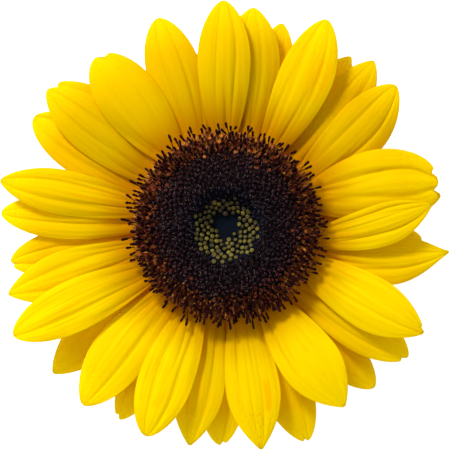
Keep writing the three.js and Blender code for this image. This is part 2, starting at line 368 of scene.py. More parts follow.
def petal_surface(leaf, draw, notches=(), closing=None, creases=2, broader=1.0, tilt=0.0):
    """Middle surface of a petal, (rows, columns, 3), with s from foot to tip and v from -1 to 1 across.

    In plan a point is foot + s * span + (v * half width + bow * 4s(1-s)) * across. Its height is the CAD
    leaf's height curve less CROSS_CURVE * (distance from the midline)^2. Grooves, a slow wave, a frilled
    edge and a twist are added, and grow from nothing at the foot. A notch pulls the points near it back
    from the tip. A low closing power makes the end blunt and a high one makes it pointed. Creases beyond
    the first two are small ones anywhere across, and the short ones at the foot end past the widest place.
    The foot curls up towards the top of the rim, so that no wide gap opens under the disc. broader
    multiplies the half width, and tilt, in degrees, rolls the petal about its own length.
    """
    t = np.linspace(0, 1, ROWS)[:, None]
    v = np.linspace(-1, 1, COLUMNS)[None]
    stand_off = np.linalg.norm(leaf["foot"] - AXIS) - RIM_RADIUS + ROOT_INSET
    start = -stand_off / leaf["length"]
    s = start + (1 - start) * (1 - (1 - t) ** 1.35)
    half = broader * leaf["half_width"] * petal_half_width(s, closing or draw.uniform(0.62, 0.84))
    offset = half * v
    grown = np.clip(s / 0.35, 0, 1) ** 1.2
    along = s * leaf["length"] + 0 * v
    for place, depth, width in notches:
        reach = np.clip((s - 0.8) / 0.2, 0, 1) ** 1.5
        along = along - depth * reach * np.exp(-(((offset - place) / width) ** 2))
    wave = draw.uniform(-0.5, 0.5) * np.sin(np.pi * (s * draw.uniform(1.2, 2.2) + draw.uniform(0, 2)))
    frill = draw.uniform(0.1, 0.45) * v**4
    frill = frill * np.sin(np.pi * (s * draw.uniform(2.5, 5) + draw.uniform(0, 2) + 0.5 * v))
    twist = math.tan(math.radians(draw.uniform(-3.5, 3.5) + tilt)) * offset
    drift = draw.uniform(0.02, 0.07) * np.sin(np.pi * (s * draw.uniform(1, 2.2) + draw.uniform(0, 2)))
    folds = 0
    for side in (-1, 1):
        place = draw.uniform(0.26, 0.46)
        folds = folds + draw.uniform(0.4, 1.0) * groove(side * (v - drift), place, draw.uniform(0.06, 0.11))
        folds = folds + draw.uniform(-0.16, 0.26) * half * ramp(side * v - place, 0.08)
    for _ in range(creases - 2):
        folds = folds + draw.uniform(0.25, 0.6) * groove(v + drift, draw.uniform(-0.8, 0.8), 0.05)
    folds = folds * np.clip(half / leaf["half_width"], 0.25, 1)
    short = 0
    for _ in range(FOOT_CREASES):
        short = short + draw.uniform(0.2, 0.6) * groove(v + 2 * drift, draw.uniform(-0.85, 0.85), 0.08)
    short = short * np.clip(s / 0.12, 0, 1) * np.clip((FOOT_CREASE_END - s) / 0.4, 0, 1)
    near_rim = np.clip((CLAW_LENGTH - s * leaf["length"]) / (CLAW_LENGTH + stand_off), 0, 1)
    claw = CLAW_SHARE * (RIM_TOP - ROOT_INSET - np.polyval(leaf["height"], 0)) * near_rim**2
    ridges = 0.035 * np.cos(2 * np.pi * (draw.uniform(3.5, 5.0) * v + draw.uniform(0, 1)))
    height = np.polyval(leaf["height"], s) - CROSS_CURVE * offset**2
    height = height + grown * (wave + frill + twist - folds + ridges) - short + claw
    sideways = offset + leaf["bow"] * 4 * s * (1 - s)
    share = along / leaf["length"]
    plan = leaf["foot"] + share[..., None] * leaf["span"] + sideways[..., None] * leaf["across"]
    return np.concatenate([plan, (height + 0 * v)[..., None]], -1), s, v


# %% Make the petals
SKIN_THICKNESS = 0.4
NOTCHES = {
    "petal_06": [(1.5, 2.2, 1.6)],
    "petal_09": [(-3.4, 1.6, 1.0), (2.6, 1.8, 1.2)],
    "petal_14": [(-1.3, 0.9, 0.6)],
    "petal_15": [(1.2, 1.3, 0.7)],
    "petal_18": [(0.4, 1.0, 0.5)],
    "petal_20": [(-0.9, 1.1, 0.6)],
    "petal_23": [(0.8, 1.2, 0.6)],
    "petal_28": [(-0.8, 1.0, 0.5)],
    "petal_34": [(2.0, 1.4, 1.6)],
}
SHAPED = {  # closing power, creases and, where it differs from the CAD leaf, how much broader
    "petal_09": (0.4, 7, 1.14),
    "petal_11": (0.95, 5),
    "petal_13": (1.25, 4),
    "petal_14": (0.9, 2),
    "petal_17": (0.95, 2),
    "petal_19": (1.0, 3),
    "petal_21": (0.95, 2),
    "petal_27": (0.9, 2),
    "petal_31": (0.6, 4),
    "petal_34": (0.55, 3),
}
TILTED = {"petal_07": -9, "petal_08": -8, "petal_29": -4.5, "petal_30": -3.5}  # degrees, to clear a neighbour
TOP_LEVEL = max(np.polyval(leaf["height"], 0.25) for leaf in petals.values())
# Painted shade: the further a petal lies under the highest one, the darker its yellow is painted.
SHADE_PAINT_DEPTH = 5.4  # millimetres under the highest petal, where the tint is down by 0.5
for name in PETALS:
    middle, s, v = petal_surface(petals[name], RNG, NOTCHES.get(name, ()), *SHAPED.get(name, ()),
                                 tilt=TILTED.get(name, 0))
    edge = np.clip(1 - np.abs(v) ** 8, 0.3, 1) * np.clip((1 - s) / 0.02, 0.3, 1)
    points, faces = thin_leaf(middle, SKIN_THICKNESS * edge)
    uv = np.stack([s + 0 * v, (v + 1) / 2 + 0 * s], -1).reshape(-1, 2)
    # Painted light and shade: a petal that points away from +Y is a lighter yellow, and one deep among the
    # layers a darker yellow up to its free end.
    painted_light_away_from_top = 0.5 - 0.5 * petals[name]["span"][1] / petals[name]["length"]
    depth = (TOP_LEVEL - np.polyval(petals[name]["height"], 0.25)) / SHADE_PAINT_DEPTH
    painted_shade_reach = 1 - np.clip((uv[:, 0] - 0.72) / 0.25, 0, 1)
    tint_with_painted_light = 0.64 + 0.28 * painted_light_away_from_top - 0.5 * depth * painted_shade_reach + RNG.uniform(-0.08, 0.08)
    add_piece("soft_" + name, points, faces, [name], "petal", np.tile(uv, (2, 1)),
              np.tile(tint_with_painted_light.clip(0, 1), 2), materials=[petal_skin])
print("petals made:", len(PETALS), "of", ROWS, "x", COLUMNS, "points a side")

# %% [markdown]
# ## Bracts
#
# The bracts are green leaflets that wrapped the bud. Each is broad at its foot and ends in a long thin
# point, with three raised veins underneath and a fringe of stiff hairs.

# %% Green materials
bract_skin, tree, skin = new_material("bract_green")
vein = add_node(tree, "ShaderNodeGroup", {"Count": 14.0, "Stretch": 2.0}, node_tree=veins)
mottle = add_node(tree, "ShaderNodeGroup", {"Scale": 500.0}, node_tree=grain)
tint = add_node(tree, "ShaderNodeAttribute", attribute_name="tint").outputs["Fac"]
fresh = blend_colours(tree, tint, (0.07, 0.17, 0.015, 1), (0.13, 0.27, 0.03, 1))
veined = blend_colours(tree, step_up(tree, vein.outputs["Veins"], 0.35, 0.65), fresh, (0.2, 0.34, 0.07, 1))
patches = step_up(tree, mottle.outputs["Blotches"], 0.35, 0.75)
mottled = blend_colours(tree, patches, veined, (0.1, 0.2, 0.02, 1))
paler = step_up(tree, vein.outputs["Along"], 0.3, -0.05)
tree.links.new(blend_colours(tree, paler, mottled, (0.3, 0.4, 0.12, 1)), skin.inputs["Base Color"])
skin.inputs["Roughness"].default_value = 0.6
add_bump(tree, skin, mottle.outputs["Grain"], 0.25, 0.6)

stem_skin, tree, skin = new_material("stem_green")
mottle = add_node(tree, "ShaderNodeGroup", {"Scale": 420.0}, node_tree=grain)
ribs = add_node(tree, "ShaderNodeGroup", {"Count": 60.0, "Stretch": 1.5}, node_tree=veins)
on_ribs = step_up(tree, ribs.outputs["Veins"], 0.37, 0.62)
ribbed = blend_colours(tree, on_ribs, (0.12, 0.22, 0.035, 1), (0.27, 0.38, 0.1, 1))
patches = step_up(tree, mottle.outputs["Blotches"], 0.35, 0.7)
mottled = blend_colours(tree, patches, ribbed, (0.2, 0.29, 0.06, 1))
place = add_node(tree, "ShaderNodeTexCoord").outputs["Object"]
level = add_node(tree, "ShaderNodeSeparateXYZ", {0: place}).outputs["Z"]
ray_bases = step_up(tree, level, (RIM_TOP - 8.5) * MM, (RIM_TOP - 5.5) * MM)
claws = blend_colours(tree, on_ribs, (0.45, 0.25, 0.01, 1), (0.66, 0.44, 0.01, 1))
tree.links.new(blend_colours(tree, ray_bases, mottled, claws), skin.inputs["Base Color"])
skin.inputs["Roughness"].default_value = 0.65
add_bump(tree, skin, mottle.outputs["Grain"], 0.3, 0.6)

pith_skin, tree, skin = new_material("cut_pith")
mottle = add_node(tree, "ShaderNodeGroup", {"Scale": 1100.0}, node_tree=grain)
cut_uv = add_node(tree, "ShaderNodeUVMap", uv_map="along_and_across").outputs["UV"]
from_middle = add_node(tree, "ShaderNodeSeparateXYZ", {0: cut_uv}).outputs["X"]
spongy = blend_colours(tree, mottle.outputs["Blotches"], (0.55, 0.56, 0.33, 1), (0.82, 0.82, 0.62, 1))
rind = step_up(tree, from_middle, 0.42, 0.6)  # centimetres from the middle of the cut
tree.links.new(blend_colours(tree, rind, spongy, (0.22, 0.32, 0.07, 1)), skin.inputs["Base Color"])
skin.inputs["Roughness"].default_value = 0.75
add_bump(tree, skin, mottle.outputs["Grain"], 0.3)

hair_skin, tree, skin = new_material("plant_hair")
mottle = add_node(tree, "ShaderNodeGroup", {"Scale": 900.0}, node_tree=grain)
tree.links.new(blend_colours(tree, mottle.outputs["Blotches"], (0.45, 0.5, 0.33, 1), (0.75, 0.76, 0.6, 1)),
               skin.inputs["Base Color"])
skin.inputs["Roughness"].default_value = 0.5

# %% Hairs
HAIR_SIDES = 3


def hairs(roots, directions, length, radius):
    """Points and triangles of tapering hairs, one for each root: a ring of three points in the plane
    across the hair, and a point at its end."""
    directions = directions / np.linalg.norm(directions, axis=1, keepdims=True)
    helper = np.where(np.abs(directions[:, 2:]) < 0.9, [[0, 0, 1.0]], [[1.0, 0, 0]])
    side = np.cross(directions, helper)
    side /= np.linalg.norm(side, axis=1, keepdims=True)
    other = np.cross(directions, side)
    angle = np.arange(HAIR_SIDES) * 2 * np.pi / HAIR_SIDES
    ring = side[:, None] * np.cos(angle)[None, :, None] + other[:, None] * np.sin(angle)[None, :, None]
    ends = roots + directions * length[:, None]
    points = np.concatenate([roots[:, None] + radius * ring, ends[:, None]], 1)
    first = np.arange(len(roots))[:, None, None] * (HAIR_SIDES + 1)
    cone = np.array([[k, (k + 1) % HAIR_SIDES, HAIR_SIDES] for k in range(HAIR_SIDES)] + [[2, 1, 0]])
    return points.reshape(-1, 3), (first + cone[None]).reshape(-1, 3)


# %% Make the bracts
BRACT_ROWS, BRACT_COLUMNS = 44, 21
BRACT_THICKNESS = 0.75
BRACT_WIDEST = 0.28  # where along the bract it is widest
BRACT_TIP = 0.045  # share of the greatest half width at the tip
BRACT_ROOT = 2.4  # how far the foot reaches under the receptacle's skin, in millimetres
BRACT_CROSS_CURVE = 0.016  # drop per square millimetre from the midline
FRINGE = 46  # hairs on each edge
HAIR_RADIUS = 0.05


def bract_surface(leaf, draw):
    """Middle surface of a bract: half width 1 - 0.2 (distance below the widest place)^2 near the foot,
    then 1 - distance^power with a drawn-out tip, over the CAD leaf's height curve. Its edges hang a
    little, its three veins are shallow channels, and its rounded foot curves up into the receptacle."""
    t = np.linspace(0, 1, BRACT_ROWS)[:, None]
    v = np.linspace(-1, 1, BRACT_COLUMNS)[None]
    start = -BRACT_ROOT / leaf["length"]
    s = start + (1 - start) * (1 - (1 - t) ** 1.2)
    below = np.clip((BRACT_WIDEST - s) / BRACT_WIDEST, 0, None)
    above = np.clip((s - BRACT_WIDEST) / (1 - BRACT_WIDEST), 0, 1)
    narrowing = BRACT_TIP + (1 - BRACT_TIP) * (1 - above ** draw.uniform(1.0, 1.3)) ** 1.12
    share = np.where(s < BRACT_WIDEST, 1 - 0.2 * below**2, narrowing)
    rounded_foot = np.sqrt(np.clip((s - start) / 0.12, 0.06, 1))
    half = leaf["half_width"] * share * rounded_foot
    offset = half * v
    sideways = offset + (leaf["bow"] + draw.uniform(-0.8, 0.8)) * 4 * s * (1 - s)
    grown = np.clip(s / 0.4, 0, 1)
    wave = draw.uniform(-0.35, 0.35) * np.sin(np.pi * (2 * s + draw.uniform(0, 2))) * (1 - s)
    channel = 0.35 * np.exp(-((v / 0.12) ** 2)) + 0.15 * np.exp(-(((np.abs(v) - 0.5) / 0.1) ** 2))
    height = np.polyval(leaf["height"], s) - BRACT_CROSS_CURVE * offset**2
    height = height + grown * (wave - channel * half / 6)
    height = height + 1.6 * np.clip((0.1 - s) / 0.2, 0, 1) ** 2
    plan = leaf["foot"] + s[..., None] * leaf["span"] + sideways[..., None] * leaf["across"]
    return np.concatenate([plan, (height + 0 * v)[..., None]], -1), s, v


for name in BRACTS:
    middle, s, v = bract_surface(bracts[name], RNG)
    edge = np.clip(1 - np.abs(v) ** 6, 0.3, 1) * np.clip((1 - s) / 0.05, 0.35, 1)
    points, faces = thin_leaf(middle, BRACT_THICKNESS * edge)
    uv = np.stack([s + 0 * v, (v + 1) / 2 + 0 * s], -1).reshape(-1, 2)
    fringe_row = RNG.integers(3, BRACT_ROWS - 2, 2 * FRINGE)
    at_left = np.arange(2 * FRINGE) < FRINGE
    roots = np.where(at_left[:, None], middle[fringe_row, 0], middle[fringe_row, -1])
    outward = np.where(at_left, -1, 1)[:, None] * np.append(bracts[name]["across"], 0)[None]
    midrib = middle[:, BRACT_COLUMNS // 2]
    outward = outward + 0.9 * (midrib[-1] - midrib[0]) / bracts[name]["length"]
    outward = outward + RNG.normal(0, 0.2, roots.shape)
    hair_points, hair_faces = hairs(roots, outward, RNG.uniform(0.7, 1.6, len(roots)), HAIR_RADIUS)
    hair_points[:, 2] = np.maximum(hair_points[:, 2], 0.02)
    points[:, 2] = np.maximum(points[:, 2], 0.01)
    all_points = np.concatenate([points, hair_points])
    all_uv = np.concatenate([uv, uv, np.zeros((len(hair_points), 2))])
    material_of = np.repeat([0, 1], [len(faces[0]), len(hair_faces)])
    add_piece("green_" + name, all_points, [*faces, hair_faces + len(points)], [name], "bract", all_uv,
              np.full(len(all_points), RNG.uniform()), material_of, [bract_skin, hair_skin])
print("bracts made:", len(BRACTS), "with", 2 * FRINGE, "hairs each")

# %% [markdown]
# ## Stem and receptacle
#
# The plate that carries everything and the stem are one grown piece. It is a turned shape, so its profile
# is carried round the axis, with shallow ribs on the stem that fade out over the swelling. The cut end
# shows pale pith inside a green rind.

# %% Profile of the receptacle
TURN = 96  # points round a turned piece
STEM_RIBS = 13


def round_off(profile, passes):
    """Cuts the corners of a profile: each pass puts two points on every straight part, a quarter in from
    its ends, and keeps the first and last points."""
    for _ in range(passes):
        near = 0.75 * profile[:-1] + 0.25 * profile[1:]
        far = 0.25 * profile[:-1] + 0.75 * profile[1:]
        between = np.stack([near, far], 1).reshape(-1, 2)
        profile = np.concatenate([profile[:1], between, profile[-1:]])
    return profile


def turned_rings(profile, ripple=0.0):
    """Rings of points from a (rows, 2) profile of radius and height carried round the axis. ripple is a
    change of radius for each row and angle."""
    angle = np.arange(TURN)[None] * 2 * np.pi / TURN
    radius = profile[:, :1] + ripple
    rings = np.stack(np.broadcast_arrays(radius * np.cos(angle), radius * np.sin(angle), profile[:, 1:]), -1)
    return rings + np.append(AXIS, 0)


def measured_profile(nodes, lowest=-1.0):
    """Radius and top height of turned CAD nodes, from their corners above a height, inside outwards."""
    points = np.concatenate([corners_of(node) for node in nodes])
    points = points[points[:, 2] > lowest]
    radius = np.hypot(*(points[:, :2] - AXIS).T).round(1)
    return np.array([[r, points[radius == r, 2].max()] for r in np.unique(radius)])


core = corners_of("stem_and_receptacle")
core_radius = np.hypot(*(core[:, :2] - AXIS).T)
levels = np.unique(core[:, 2].round(2))
side = np.array([[core_radius[np.abs(core[:, 2] - z) < 0.02].max(), z] for z in levels])
STEM_RADIUS = side[0, 0]
print("stem and receptacle profile:", side.round(2).tolist())

# %% Make the stem and receptacle
HAIR_COUNT = 700
pith = np.array([[share * STEM_RADIUS, 0] for share in (0.15, 0.35, 0.55, 0.75, 0.9, 0.97)])
side = round_off(np.concatenate([[[STEM_RADIUS, 0.0], [STEM_RADIUS, 0.3]], side[1:]]), 2)
plate = np.array([[share * RIM_RADIUS, RIM_TOP] for share in (0.9, 0.5, 0.1)])
profile = np.concatenate([pith, side, plate])
angle = np.arange(TURN)[None] * 2 * np.pi / TURN
radius, height = profile[:, :1], profile[:, 1:]
ribs = 0.22 * np.clip((17 - radius) / 10, 0, 1) * np.cos(STEM_RIBS * angle + 0.05 * height)
uneven = 0.25 * np.sin(2 * angle + 0.3 * height) + 0.15 * np.sin(5 * angle + 1)
below_rim = np.clip((RIM_RADIUS - radius) / 3, 0, 1)
ripple = (ribs + uneven * np.clip(height / 4, 0.2, 1)) * below_rim * (radius / STEM_RADIUS).clip(0, 1) ** 3
rings = turned_rings(profile, ripple)
points, faces = ring_solid(rings)
from_middle = np.linalg.norm(np.diff(profile, axis=0, prepend=[[0, 0]]), axis=1).cumsum()
uv = np.stack(np.broadcast_arrays(from_middle[:, None] / 10, angle / (2 * np.pi)), -1).reshape(-1, 2)
uv = np.concatenate([uv, [[0, 0], [5, 0]]])  # the two ends' middle points

hair_row = RNG.integers(len(pith) + 1, len(pith) + len(side) - 6, HAIR_COUNT)
roots = rings[hair_row, RNG.integers(0, TURN, HAIR_COUNT)]
outward = (roots - np.append(AXIS, 0)) * [1, 1, 0]
outward /= np.linalg.norm(outward, axis=1, keepdims=True)
outward += [0, 0, -0.3] + RNG.normal(0, 0.25, roots.shape)
hair_points, hair_faces = hairs(roots, outward, RNG.uniform(0.6, 1.5, HAIR_COUNT), HAIR_RADIUS)
hair_points[:, 2] = np.maximum(hair_points[:, 2], 0.02)
hair_faces = hair_faces + len(points)
STEM, PITH, HAIR = range(3)
material_of = np.full(sum(len(block) for block in faces) + len(hair_faces), STEM)
material_of[-len(hair_faces):] = HAIR
material_of[: len(pith) * TURN] = PITH
material_of[len(faces[0]): len(faces[0]) + TURN] = PITH
all_points = np.concatenate([points, hair_points])
all_uv = np.concatenate([uv, np.zeros((len(hair_points), 2))])
add_piece("green_stem_and_receptacle", all_points, [*faces, hair_faces], ["stem_and_receptacle"], "stem",
          all_uv, np.full(len(all_points), 0.5), material_of, [stem_skin, pith_skin, hair_skin])
print("stem radius", round(STEM_RADIUS, 2), "mm,", HAIR_COUNT, "hairs")

# %% [markdown]
# ## The disc
#
# The disc is a spiral of small tube-shaped flowers. Each new one grows at the golden angle from the last,
# about 137.5 degrees round, and at a distance that grows with the square root of its number, so that
# all have the same room. The outer ones are open: a red-brown tube with five lobes, and a dark column
# of anthers that leans out over the petals. Then come dark closed buds, and green ones round a hollow.
#
# Every kind is one small template that is copied to its places in one array calculation.

# %% Where the florets stand
ROOM = 2.7  # square millimetres for each floret
GOLDEN_ANGLE = math.pi * (3 - math.sqrt(5))
DISC_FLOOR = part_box("dark_buds")[0][2] / MM
disc_profile = measured_profile(["centre_buds", "dark_buds", "open_florets"], DISC_FLOOR + 1)
CENTRE_REACH = measured_profile(["centre_buds"])[-1, 0]
DARK_REACH = measured_profile(["dark_buds"])[-1, 0]
DISC_REACH = disc_profile[-1, 0]
LEAN_AT = ((0, 5, 11, 14, 19, 24, 28, 31, 34), (-45, -40, -34, -12, -2, 10, 26, 46, 64))  # mm, degrees
HOLLOW_SINK = 2.8  # how much deeper the florets sit in the green zone, in millimetres

number = np.arange(int(math.pi * (DISC_REACH + 0.5) ** 2 / ROOM))
floret_radius = np.sqrt((number + 0.5) * ROOM / math.pi)
floret_angle = number * GOLDEN_ANGLE
print(len(number), "florets out to", floret_radius[-1].round(1), "mm; zones end at", CENTRE_REACH, DARK_REACH)


def disc_top(radius):
    """Height of the floret tips at a distance from the axis: the CAD zones' upper surface, less a sink that
    grows smoothly inside the green zone, where the wall of the hollow is steep."""
    inside = np.clip((CENTRE_REACH + 0.5 - radius) / 4, 0, 1)
    sink = HOLLOW_SINK * inside**2 * (3 - 2 * inside)
    return np.interp(radius, disc_profile[:, 0], disc_profile[:, 1]) - sink


def tube(profile, sides, wave=None):
    """A template standing on the origin: rings of a (rows, 2) profile of radius and height. wave is a
    (rows, sides) change of the radius."""
    turn = np.arange(sides)[None] * 2 * np.pi / sides
    profile = np.array(profile, float)
    radius = profile[:, :1] + (0 if wave is None else wave)
    return np.stack(np.broadcast_arrays(radius * np.cos(turn), radius * np.sin(turn), profile[:, 1:]), -1)


def plant(rings, chosen, length, draw, bend=0.0, jitter=5.0, uneven=0.06, tint=None):
    """Copies of a template at the chosen florets.

    Each copy's tip comes to the disc's surface at its spiral place, and its axis leans outwards by the
    LEAN_AT angle, give or take the jitter in degrees. The frame of a copy is its axis, the direction
    straight down its lean and the one across. Bend moves a point outwards by bend * height^2, and uneven
    is the spread of the heights. Returns points, faces and, for each point, its share of the height and
    the floret's own tint, drawn by chance if none is given.
    """
    template, faces = ring_solid(rings)
    count, size = len(chosen), len(template)
    radius = floret_radius[chosen] + draw.normal(0, 0.12, count)
    angle = floret_angle[chosen] + draw.normal(0, 0.1, count) / floret_radius[chosen]
    lean = np.radians(np.interp(radius, *LEAN_AT) + draw.normal(0, jitter, count))
    aside = np.radians(draw.normal(0, jitter, count))
    out = np.stack([np.cos(angle), np.sin(angle), 0 * angle], -1)
    beside = np.stack([-np.sin(angle), np.cos(angle), 0 * angle], -1)
    up = np.array([0, 0, 1.0])
    axis = np.cos(lean)[:, None] * up + np.sin(lean)[:, None] * out + np.sin(aside)[:, None] * beside
    axis /= np.linalg.norm(axis, axis=1, keepdims=True)
    down_lean = out - (out * axis).sum(1, keepdims=True) * axis
    down_lean /= np.linalg.norm(down_lean, axis=1, keepdims=True)
    crosswise = np.cross(axis, down_lean)
    scale = draw.normal(1, 0.07, (count, 1))
    spin = draw.uniform(0, 2 * np.pi, (count, 1))
    x = scale * (template[:, 0] * np.cos(spin) - template[:, 1] * np.sin(spin))
    y = scale * (template[:, 0] * np.sin(spin) + template[:, 1] * np.cos(spin))
    z = draw.normal(1, uneven, (count, 1)) * template[:, 2]
    x = x + bend * np.clip(z, 0, None) ** 2
    tip = np.append(AXIS, 0) + radius[:, None] * out + disc_top(radius)[:, None] * up
    base = tip - length * axis
    points = base[:, None]
    for reach, direction in ((x, down_lean), (y, crosswise), (z, axis)):
        points = points + reach[..., None] * direction[:, None]
    share = (template[:, 2] / template[:, 2].max()).clip(0, 1)
    first = np.arange(count)[:, None, None] * size
    faces = [(first + block[None]).reshape(-1, block.shape[1]) for block in faces]
    tint = draw.uniform(0, 1, count) if tint is None else tint
    return points.reshape(-1, 3), faces, np.tile(share, count), np.repeat(tint, size)


# %% Disc materials
def floret_material(name, base, tip, other_tip, tip_from, roughness, shine, turns_at=(0, 1), fade=0.5):
    """A floret's finish: one colour at its base, and at its tip a blend of two, which goes from the first
    to the other as the floret's own tint rises through turns_at. In patches it fades back to the base."""
    material, tree, skin = new_material(name)
    uv = add_node(tree, "ShaderNodeUVMap", uv_map="along_and_across").outputs["UV"]
    height = add_node(tree, "ShaderNodeSeparateXYZ", {0: uv}).outputs["X"]
    tint = add_node(tree, "ShaderNodeAttribute", attribute_name="tint").outputs["Fac"]
    mottle = add_node(tree, "ShaderNodeGroup", {"Scale": 1500.0}, node_tree=grain)
    own_tip = blend_colours(tree, step_up(tree, tint, *turns_at), (*tip, 1), (*other_tip, 1))
    colour = blend_colours(tree, step_up(tree, height, *tip_from), (*base, 1), own_tip)
    uneven = step_up(tree, mottle.outputs["Blotches"], 0.3, 0.7)
    colour = blend_colours(tree, uneven, blend_colours(tree, fade, colour, (*base, 1)), colour)
    tree.links.new(colour, skin.inputs["Base Color"])
    skin.inputs["Roughness"].default_value = roughness
    skin.inputs["Specular IOR Level"].default_value = shine
    add_bump(tree, skin, mottle.outputs["Grain"], 0.06)
    return material


# Near-black bed: painted shade in the gaps between florets.
bed_skin = floret_material("disc_bed", (0.01, 0.005, 0.005), (0.014, 0.006, 0.006), (0.02, 0.008, 0.007),
                           (0, 1), 0.9, 0.05)
corolla_skin = floret_material("corolla_red_brown", (0.55, 0.23, 0.03), (0.1, 0.008, 0.008),
                               (0.45, 0.13, 0.02), (0.62, 0.85), 0.6, 0.05, (0.5, 1.0), fade=0.2)
anther_skin = floret_material("anther_purple_black", (0.04, 0.005, 0.004), (0.005, 0.002, 0.004),
                              (0.014, 0.003, 0.004), (0.1, 0.45), 0.5, 0.02)
dark_skin = floret_material("dark_bud", (0.01, 0.006, 0.009), (0.014, 0.01, 0.018), (0.07, 0.015, 0.014),
                            (0.3, 0.9), 0.7, 0.03)
# Its darker second tip colour is painted shade for the buds towards +Y.
green_skin = floret_material("green_bud", (0.008, 0.007, 0.005), (0.15, 0.115, 0.014), (0.075, 0.045, 0.018),
                             (0.6, 0.9), 0.45, 0.2, (0.4, 1.0), fade=0.85)
chaff_skin = floret_material("chaff_hair", (0.08, 0.05, 0.06), (0.45, 0.38, 0.42), (0.5, 0.4, 0.26),
                             (0, 0.6), 0.5, 0.2)
# Near-black painted shade for the bed of the green zone and the hollow in its middle.
hollow_shade_skin = floret_material("hollow_painted_shade", (0.004, 0.006, 0.01), (0.004, 0.006, 0.012),
                              (0.006, 0.008, 0.014), (0, 1), 0.9, 0.0)


# %% Joining parts into one piece
def join(parts):
    """Points, faces, uv, tint and material numbers of several parts, each (points, faces, height
    share, tint, material number)."""
    shift, faces, material_of = 0, [], []
    for points, blocks, _, _, number in parts:
        faces += [block + shift for block in blocks]
        material_of += [np.full(len(block), number) for block in blocks]
        shift += len(points)
    height = np.concatenate([part[2] for part in parts])
    return {
        "points": np.concatenate([part[0] for part in parts]),
        "faces": faces,
        "uv": np.stack([height, height * 0 + 0.5], -1),
        "tint": np.concatenate([part[3] for part in parts]),
        "material_of": np.concatenate(material_of),
    }


def bed(inner, outer, depth, number, hollow=0.0):
    """The solid that a zone's florets stand in: the disc's surface lowered by depth, and by 4 mm more
    inside the radius of the hollow, down to the disc's floor. A zone with an inner radius is a closed
    ring, so its last row of points is joined to its first."""
    radius = np.linspace(outer, inner, 16)
    sunk = depth + 4 * np.clip((hollow + 1 - radius) / 2, 0, 1)
    over = np.stack([radius, np.maximum(disc_top(radius) - sunk, DISC_FLOOR + 0.4)], -1)
    under = np.array([[max(inner, 0.3), DISC_FLOOR], [outer, DISC_FLOOR]])
    rings = turned_rings(np.concatenate([under, over[over[:, 0] > 0.2]]))
    points, faces = ring_solid(rings)
    if inner > 0:
        points = rings.reshape(-1, 3)
        faces = [grid_faces(len(rings) + 1, TURN, ring=True) % len(points)]
    return points, faces, np.zeros(len(points)), np.full(len(points), 0.5), number


# %% Kinds of floret
# A little chance in the radius makes the kinds mix where they meet. The green zone is wider towards -Y.
wander = RNG.normal(0, 1, len(number))
is_open = floret_radius + 1.3 * wander > DARK_REACH
green_reach = CENTRE_REACH - 2.2 - 1.7 * np.sin(floret_angle)
is_green = floret_radius + 0.5 * wander < green_reach
ripeness = np.clip((floret_radius - CENTRE_REACH) / (DARK_REACH - CENTRE_REACH), 0, 1)
print(is_open.sum(), "open,", (~is_open & ~is_green).sum(), "dark and", is_green.sum(), "green places")

# %% Open florets
def skirt(count, draw):
    """Points, faces, height share and tint of pointed scales that stand out from under the outermost
    florets, all round the edge of the disc, and hide the bare side of the bed."""
    angle = draw.uniform(0, 2 * np.pi, count)
    outward = np.stack([np.cos(angle), np.sin(angle)], -1)
    roots = np.column_stack([AXIS + (RIM_RADIUS + 0.4) * outward, DISC_FLOOR + draw.uniform(0.1, 1.7, count)])
    directions = np.column_stack([outward, draw.uniform(0.1, 0.9, count)])
    directions += draw.normal(0, 0.2, directions.shape)
    points, faces = hairs(roots, directions, draw.uniform(2.0, 3.2, count), 0.45)
    return points, [faces], np.tile([0.3, 0.3, 0.3, 1.0], count), np.repeat(draw.uniform(0, 1, count), 4)


LOBES = 10  # points round a floret, two to each of its five lobes
lobe_wave = np.zeros((7, LOBES))
lobe_wave[4:6] = [np.tile([0.1, -0.04], 5), np.tile([0.3, -0.08], 5)]
corolla_profile = [[0.3, 0], [0.34, 2.0], [0.44, 3.2], [0.4, 4.2], [0.46, 4.8], [0.5, 5.1], [0.2, 4.5]]
corolla = tube(corolla_profile, LOBES, lobe_wave)
corolla[5, 1::2, 2] -= 0.3
anthers = tube([[0.16, 0], [0.18, 1.6], [0.43, 2.1], [0.37, 2.7], [0.5, 3.2], [0.42, 3.7], [0.16, 3.95]], 6)
CROWN_EDGE = 31.8  # florets beyond this show only their dark columns
outside = np.flatnonzero(is_open & (floret_radius < CROWN_EDGE))
column_share = np.where(floret_radius < CROWN_EDGE, 0.75, 0.42)
with_anthers = np.flatnonzero(is_open & (RNG.uniform(0, 1, len(number)) < column_share))
# Painted light: on top of a random share, florets towards +Y and +X get more of the orange tip colour.
gold_with_painted_light = RNG.uniform(0, 1, len(outside)) * (0.6 + 0.4 * np.sin(floret_angle[outside] + 0.6))
parts = [
    (*plant(corolla, outside, 5.3, RNG, bend=0.012, jitter=8, uneven=0.08, tint=gold_with_painted_light), 0),
    (*plant(anthers, with_anthers, 3.2, RNG, bend=0.03, jitter=15, uneven=0.14), 1),
    bed(DARK_REACH, RIM_RADIUS + 0.8, 3.6, 2),
    (*skirt(420, RNG), 0),
]
joined = join(parts)
add_piece("disc_open_florets", replaced=["open_florets"], slot="open_floret",
          materials=[corolla_skin, anther_skin, bed_skin], **joined)
print(len(outside), "open florets,", sum(len(block) for block in joined["faces"]), "faces")

